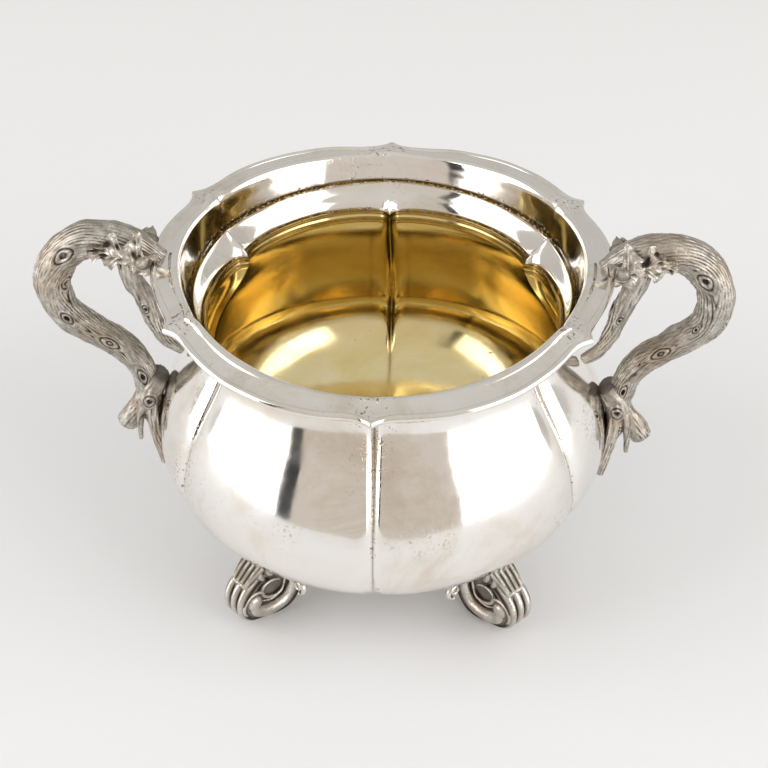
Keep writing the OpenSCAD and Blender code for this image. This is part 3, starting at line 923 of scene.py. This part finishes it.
def bark_bar(path, radii, seed, knots=(), rows=160, cols=64, squash=1.0, amount=1.0):
    """Rings and shade of one bar of bark along a spline path."""
    fine = even(spline(path, 12), rows)
    length = np.linalg.norm(np.diff(fine, axis=0), axis=1).sum()
    s = np.linspace(0, 1, rows + 1)[:, None] + np.zeros(cols)[None]
    theta = np.linspace(0, 2 * np.pi, cols, endpoint=False)[None] + np.zeros((rows + 1, 1))
    radius = np.interp(s[:, 0], np.linspace(0, 1, len(radii)), radii)
    h, shade = bark(s, theta, length, float(np.mean(radii)), knots, seed)
    r = radius[:, None] + amount * (h - 0.3) * np.minimum(1, radius[:, None] / 3)
    end = np.sqrt(np.clip(1 - ((s - 0.985) / 0.015).clip(0, 1) ** 2, 0.05, 1))
    r = r * end
    t = theta[0]
    p = section_grid(fine, np.array([0, -1.0, 0]), r * np.sin(t)[None] * squash, r * np.cos(t)[None])
    return p, shade


STUB_AT = [66.6, 0, 51.6]
STUB_LEAN = 149   # degrees from straight up


def build_twigs(side, mirror, seed):
    """Root, brace twig, lower twigs and sawn stub of one handle."""
    heights = [59, 55, 51, 47, 43, 39, 36]
    radii = [2.9, 3.9, 4, 3.3, 2.6, 2, 1.5]
    path = [[shell_r(z) + r - 0.3, 0, z] for z, r in zip(heights, radii)]
    p, shade = bark_bar(path, radii, seed, [(0.3, 1.5, 1.7, 1.0), (0.58, 1.9, 1.2, 0.6)], squash=1.25)
    mesh = Mesher()
    # painted shade on the root's top, where it meets the bowl
    top_painted_shade = 0.6 * np.exp(-np.linspace(0, 1, len(p)) / 0.1)[:, None]
    mesh.grid(p, np.maximum(shade, top_painted_shade))
    place_bark(mesh, side + "_root", mirror)

    path = [[67.6, -2, 100], [66.6, -3, 95], [63.9, -3.2, 88], [62.2, -3.2, 81], [59.8, -3, 75],
            [56.4, -2.8, 71.2], [54.6, -2.6, 69.6]]
    radii = mix(3.3, 1.7, np.linspace(0, 1, 13) ** 1.3)
    p, shade = bark_bar(path, radii, seed + 5, [(0.45, 1.6, 1.2, 0.9)], amount=1.4)
    mesh = Mesher()
    mesh.grid(p, shade)
    place_bark(mesh, side + "_brace_twig", mirror)

    mesh = Mesher()
    path = [[65.4, -1, 54], [64.8, -3, 48], [64, -5, 43], [62.6, -7.2, 38.5], [61, -9, 33.8]]
    p, shade = bark_bar(path, mix(2.3, 1.3, np.linspace(0, 1, 9) ** 0.8), seed + 7, amount=0.8)
    mesh.grid(p, shade)
    path = [[67, -2.5, 51], [68.4, -3.4, 45], [68.6, -4, 38]]
    p, shade = bark_bar(path, [1.5, 1.3, 0.9, 0.6], seed + 9, rows=70, cols=28, amount=0.8)
    mesh.grid(p, shade)
    place_bark(mesh, side + "_lower_twigs", mirror)

    lean = math.radians(STUB_LEAN)
    along = np.array([math.sin(lean), 0, math.cos(lean)])
    path = [np.array(STUB_AT) + along * d for d in (0, 4, 8, 12.4)]
    p, shade = bark_bar(path, [3.2, 3.0, 3.1, 3.3, 3.25], seed + 11, rows=90, cols=48)
    mesh = Mesher()
    mesh.grid(p, shade)
    place_bark(mesh, side + "_cut_stub", mirror, 55)


def leaf_half(s):
    """Half-width of an oak leaf at s along it: rounded lobes that shrink to the tip."""
    lobes = 0.74 + 0.34 * np.sin(np.radians(360 * 3.5 * s - 60))
    return 5.6 * np.sin(np.radians(180 * s ** 0.75)).clip(0, 1) ** 0.8 * lobes + 0.5


def build_leaf(mirror, node, first, last, a, seed):
    """Crumpled oak leaf lying on the bough from span first to span last, turned by a degrees round it."""
    rows, cols = 150, 49
    path = spline(BOUGH, 30)
    total = len(path) - 1
    s = np.linspace(0, 1, rows + 1)
    f = mix(first, last, s) * total
    p = np.stack([np.interp(f, np.arange(total + 1), path[:, k]) for k in range(3)], 1)
    t = unit(np.gradient(p, axis=0))
    u = np.broadcast_to([0, -1.0, 0], t.shape)
    v = np.cross(t, u)
    c = np.linspace(-1, 1, cols)[None]
    s = s[:, None]
    crumple = Field(seed, 3.2)
    veins = np.exp(-(np.mod(s * 7 - np.abs(c) * 1.8, 1.0) - 0.5) ** 2 / 0.015)
    midrib = np.exp(-(c / 0.08) ** 2)
    curl = 0.5 * np.abs(c) ** 2 + 1.0 * np.abs(c) ** 3 * (0.5 + 0.5 * np.sin(s * 26 + 3 * np.sign(c)))
    relief = 0.5 * midrib + 0.42 * veins * (1 - midrib)
    w = np.radians(a) + c * leaf_half(s) / BOUGH_R
    r0 = bough_radius(mix(first, last, s))

    def sheet(lift):
        r = r0 + lift
        aside = (r * np.sin(w))[..., None] * u[:, None]
        upward = (r * np.cos(w))[..., None] * v[:, None]
        return p[:, None] + aside + upward

    wave = 0.55 * crumple(sheet(0 * c))
    over = sheet(0.6 + curl + relief + wave)
    under = sheet(-0.35 + curl * 0.8 + wave)
    shade = np.clip(0.45 - 0.6 * veins - midrib - 0.6 * np.abs(c) ** 4 - 1.5 * wave, 0, 1)
    rings = np.concatenate([over, under[:, ::-1]], 1)
    rings[..., 2] = np.minimum(rings[..., 2], CAD_HIGH[2] / MM - 0.1)
    mesh = Mesher()
    # the underside of the leaf gets a painted shade of 0.6
    mesh.grid(rings, np.concatenate([shade, np.full_like(shade, 0.6)], 1))
    place(mesh.make(node + "_cast", BARK_SILVER, 75, mirror), "cast_bark_silver", node)


def build_acorns(side, mirror):
    """Two acorns in their cups where the bough leaves the rim."""
    for node, centre, axis in (("front_acorn", [62.9, -4.7, 101.0], [0.15, -0.85, 0.2]),
                               ("rear_acorn", [62.4, 4, 101.6], [-0.15, 0.85, 0.5])):
        mesh = Mesher()
        nut = [[0.01, 4.2], [0.3, 3.9]]
        nut += [[1.9 * math.cos(t), 3.6 * math.sin(t)] for t in np.radians(range(80, -1, -8))]
        nut += [[0.01, -0.4]]
        lathe(mesh, nut, centre, axis, 32, 0.3)
        cup = [[1.8, 0.9], [2.3, 1.0], [2.5, 0.7]]
        cup += [[2.45 * math.cos(t), -2.0 * math.sin(t)] for t in np.radians(range(0, 86, 8))]
        cup += [[0.01, -2.05]]
        lathe(mesh, cup, centre, axis, 32, 0.6)
        name = f"{side}_{node}"
        place(mesh.make(name + "_cast", BARK_SILVER, 60, mirror), "cast_bark_silver", name)


def build_handles():
    for side, knots, seed in (("left", KNOTS_LEFT, 31), ("right", KNOTS_RIGHT, 71)):
        mirror = (-1 if side == "left" else 1, 1)
        build_branch(side, mirror, knots, seed)
        build_twigs(side, mirror, seed)
        build_leaf(mirror, side + "_front_leaf", 0.02, 0.27, 90, seed + 13)
        build_leaf(mirror, side + "_rear_leaf", 0.02, 0.2, -45, seed + 17)
        build_acorns(side, mirror)


# ---- room ----
# A pale table, its front edge out of sight, between two tall soft lights, with a thin dark
# stand beside the left one. The stand and the lights are seen only as reflections.

TABLE_FRONT = -0.42
TABLE_SIZE = 3.0
# painted shade: the board is darker near the front than far back
TABLE_NEAR = (0.855, 0.868, 0.892)
TABLE_FAR = (0.935, 0.95, 0.975)
NEAR_Y = -0.1
FAR_Y = 0.3
CEILING = (0.68, 0.665, 0.63)
BACKDROP = (0.84, 0.84, 0.84)


def out_from_bowl(bearing, distance, height):
    """A point at this bearing in degrees to the right of straight ahead of the bowl's front."""
    a = math.radians(bearing)
    return Vector((distance * math.sin(a), -distance * math.cos(a), height))


def table_material():
    """Matt white board, a little darker towards the front: painted shade."""
    m, tree, shader = new_material("table")
    here = coordinates(tree)
    split = tree.nodes.new("ShaderNodeSeparateXYZ")
    tree.links.new(here, split.inputs[0])
    away = math_node(tree, "MULTIPLY_ADD", split.outputs["Y"], 1 / (FAR_Y - NEAR_Y))
    away.node.inputs[2].default_value = -NEAR_Y / (FAR_Y - NEAR_Y)
    # painted shade from the near colour to the far one
    tint = ramp(tree, away, [(0.0, TABLE_NEAR), (1.0, TABLE_FAR)])
    grain = ramp(tree, noise_node(tree, here, 3, 2, 0.5), [(0.0, grey(0.985)), (1.0, grey(1))])
    tree.links.new(mix_colour(tree, 1.0, tint, grain, "MULTIPLY"), shader.inputs["Base Color"])
    shader.inputs["Roughness"].default_value = 0.75
    shader.inputs["Specular IOR Level"].default_value = 0.25
    return m


def add_sheet(name, corners, material):
    mesh = bpy.data.meshes.new(name)
    mesh.from_pydata(corners, [], [(0, 1, 2, 3)])
    mesh.materials.append(material)
    sheet = bpy.data.objects.new(name, mesh)
    bpy.context.scene.collection.objects.link(sheet)
    return sheet


def add_table():
    half = TABLE_SIZE
    corners = [(-half, TABLE_FRONT, 0), (half, TABLE_FRONT, 0), (half, half, 0), (-half, half, 0)]
    add_sheet("floor", corners, table_material())


def add_stand():
    """Thin dark upright beyond the table's edge."""
    m, tree, shader = new_material("stand")
    tone = noise_node(tree, coordinates(tree), 40, 2, 0.5)
    tree.links.new(ramp(tree, tone, [(0.3, (0.012, 0.015, 0.02)), (0.7, (0.03, 0.035, 0.04))]),
                   shader.inputs["Base Color"])
    shader.inputs["Roughness"].default_value = 0.6
    foot = out_from_bowl(-41.5, 0.58, -0.15)
    side = Vector((0.033, -0.026, 0))
    up = Vector((0, 0, 0.95))
    stand = add_sheet("stand", [foot - side, foot + side, foot + side + up, foot - side + up], m)
    stand.visible_camera = False


def add_area(name, at, size, radiance, target):
    """Rectangular soft light with an even radiance, turned to the target."""
    light = bpy.data.lights.new(name, "AREA")
    light.shape = "RECTANGLE"
    light.size, light.size_y = size
    light.energy = radiance * math.pi * size[0] * size[1]
    obj = bpy.data.objects.new(name, light)
    obj.location = at
    obj.rotation_euler = (Vector(target) - at).to_track_quat("-Z", "Y").to_euler()
    obj.visible_camera = False
    bpy.context.scene.collection.objects.link(obj)


def add_lights():
    level = Vector((0, 0, 0.4))
    add_area("soft_left", out_from_bowl(-71, 0.62, 0.4), (0.60, 0.9), 2.0, level)
    add_area("soft_right", out_from_bowl(66, 0.62, 0.4), (0.70, 0.9), 2.0, level)


def add_world():
    """Warm grey room in front, paler behind and above; the camera itself sees it plain."""
    world = bpy.data.worlds.new("studio")
    bpy.context.scene.world = world
    world.use_nodes = True
    tree = world.node_tree
    back = tree.nodes["Background"]
    direction = tree.nodes.new("ShaderNodeTexCoord").outputs["Generated"]
    split = tree.nodes.new("ShaderNodeSeparateXYZ")
    tree.links.new(direction, split.inputs[0])
    depth = math_node(tree, "MULTIPLY_ADD", split.outputs["Y"], 0.5)
    depth.node.inputs[2].default_value = 0.5
    walls = ramp(tree, depth, [(0.25, (0.66, 0.60, 0.54)), (0.8, (0.57, 0.555, 0.53))])
    above = ramp(tree, split.outputs["Z"], [(0.5, grey(0)), (1.0, grey(1))])
    room = mix_colour(tree, above, walls, CEILING)
    seen = tree.nodes.new("ShaderNodeLightPath").outputs["Is Camera Ray"]
    tree.links.new(mix_colour(tree, seen, room, BACKDROP), back.inputs["Color"])


CAMERA_AT = (0.3147, -6.7687, 4.9212)   # from the mouth's centre, in mouth radii
CAMERA_TURN = (2.619, 39.308, -0.163)   # yaw, pitch and roll in degrees
SENSOR = 36
LENS = 91.41


def add_camera():
    """Camera at the viewing angle that puts the corners, seam and handles in place; the lens is a choice."""
    at = Vector(CAMERA_AT) * RIM_R * MM + Vector((0, 0, RIM_H * MM))
    yaw, pitch, roll = (math.radians(v) for v in CAMERA_TURN)
    ahead = Vector((-math.sin(yaw) * math.cos(pitch), math.cos(yaw) * math.cos(pitch), -math.sin(pitch)))
    data = bpy.data.cameras.new("camera")
    data.sensor_width = SENSOR
    data.lens = LENS
    obj = bpy.data.objects.new("camera", data)
    turn = ahead.to_track_quat("-Z", "Y").to_matrix() @ Matrix.Rotation(roll, 3, "Z")
    obj.matrix_world = Matrix.Translation(at) @ turn.to_4x4()
    bpy.context.scene.collection.objects.link(obj)
    bpy.context.scene.camera = obj


build_body()
build_collar()
build_mouth()
build_feet()
build_handles()
add_table()
add_stand()
add_lights()
add_world()
add_camera()
bpy.context.scene.view_settings.view_transform = "Standard"
